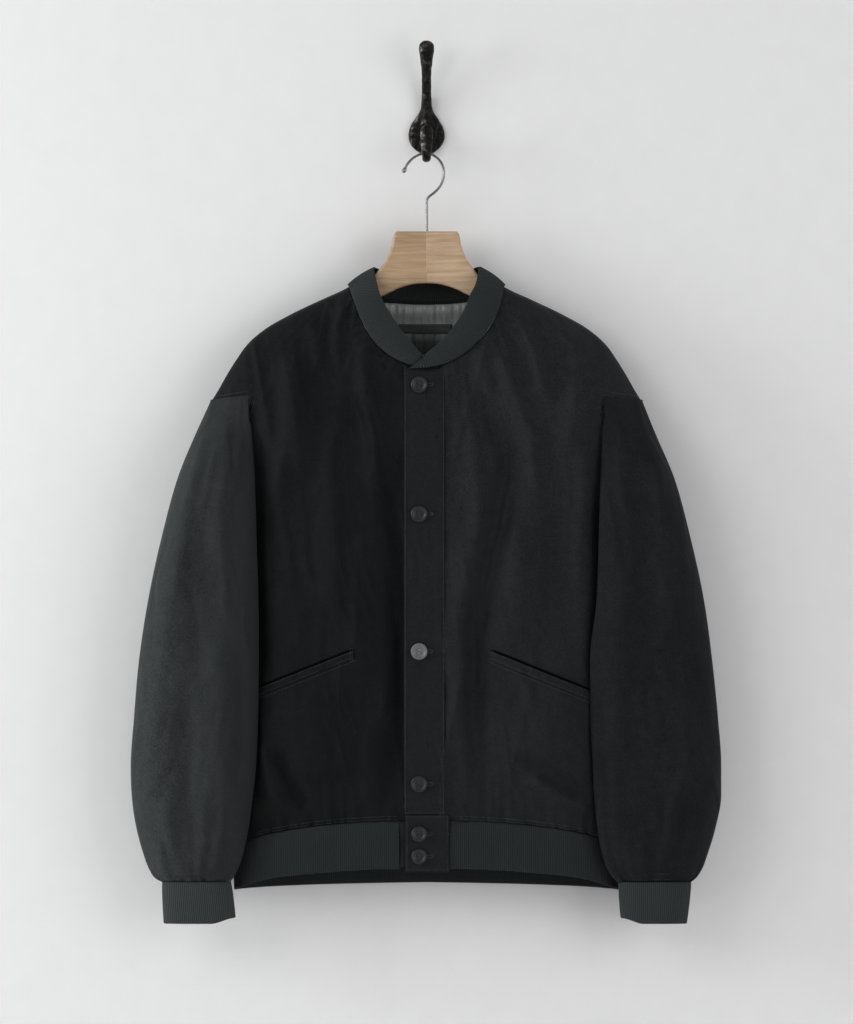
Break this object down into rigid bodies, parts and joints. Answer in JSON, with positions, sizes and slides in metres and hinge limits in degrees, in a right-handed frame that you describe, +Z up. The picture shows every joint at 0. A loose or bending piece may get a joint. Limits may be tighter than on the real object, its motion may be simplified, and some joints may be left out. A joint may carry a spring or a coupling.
{
  "type": "button-front bomber jacket on a wooden hanger and wall hook",
  "caption": "Bomber jacket with rib-knit collar, cuffs and hem and a buttoned placket, on a wooden hanger with a wire hook that hangs from a cast-iron wall hook.",
  "frame": {"origin": "middle of the wall hook's flat back, on the wall", "axes": "+X to the right as one faces the jacket (the wearer's left), +Y into the wall, +Z up"},
  "size_m": [0.649, 0.1101, 0.971],
  "materials": {
    "poplin": "near-black cotton poplin, dry and slightly worn",
    "rib_knit": "dark grey-green rib knit",
    "lining": "light grey sateen",
    "loop_tape": "dark woven tape",
    "buttons": "dark four-hole buttons, polished",
    "maple": "pale, bare maple",
    "wire": "bright plated steel wire",
    "iron": "black forged iron, worn on its edges"
  },
  "bodies": {
    "root": {"back": "poplin", "front_left": "poplin", "front_right": "poplin", "sleeve_left": "poplin", "sleeve_right": "poplin", "placket": "poplin", "tab_left": "poplin", "tab_right": "poplin", "pocket_welt_left": "poplin", "pocket_welt_right": "poplin", "collar_rib": "rib_knit", "cuff_left": "rib_knit", "cuff_right": "rib_knit", "hem_rib": "rib_knit", "back_lining": "lining", "hanger_loop": "loop_tape", "button_1": "buttons", "button_2": "buttons", "button_3": "buttons", "button_4": "buttons", "button_5": "buttons", "button_6": "buttons", "hanger_half_left": "maple", "hanger_half_right": "maple", "hanger_wire": "wire", "wall_hook": "iron", "screw_1": "iron", "screw_2": "iron"}
  },
  "joints": []
}
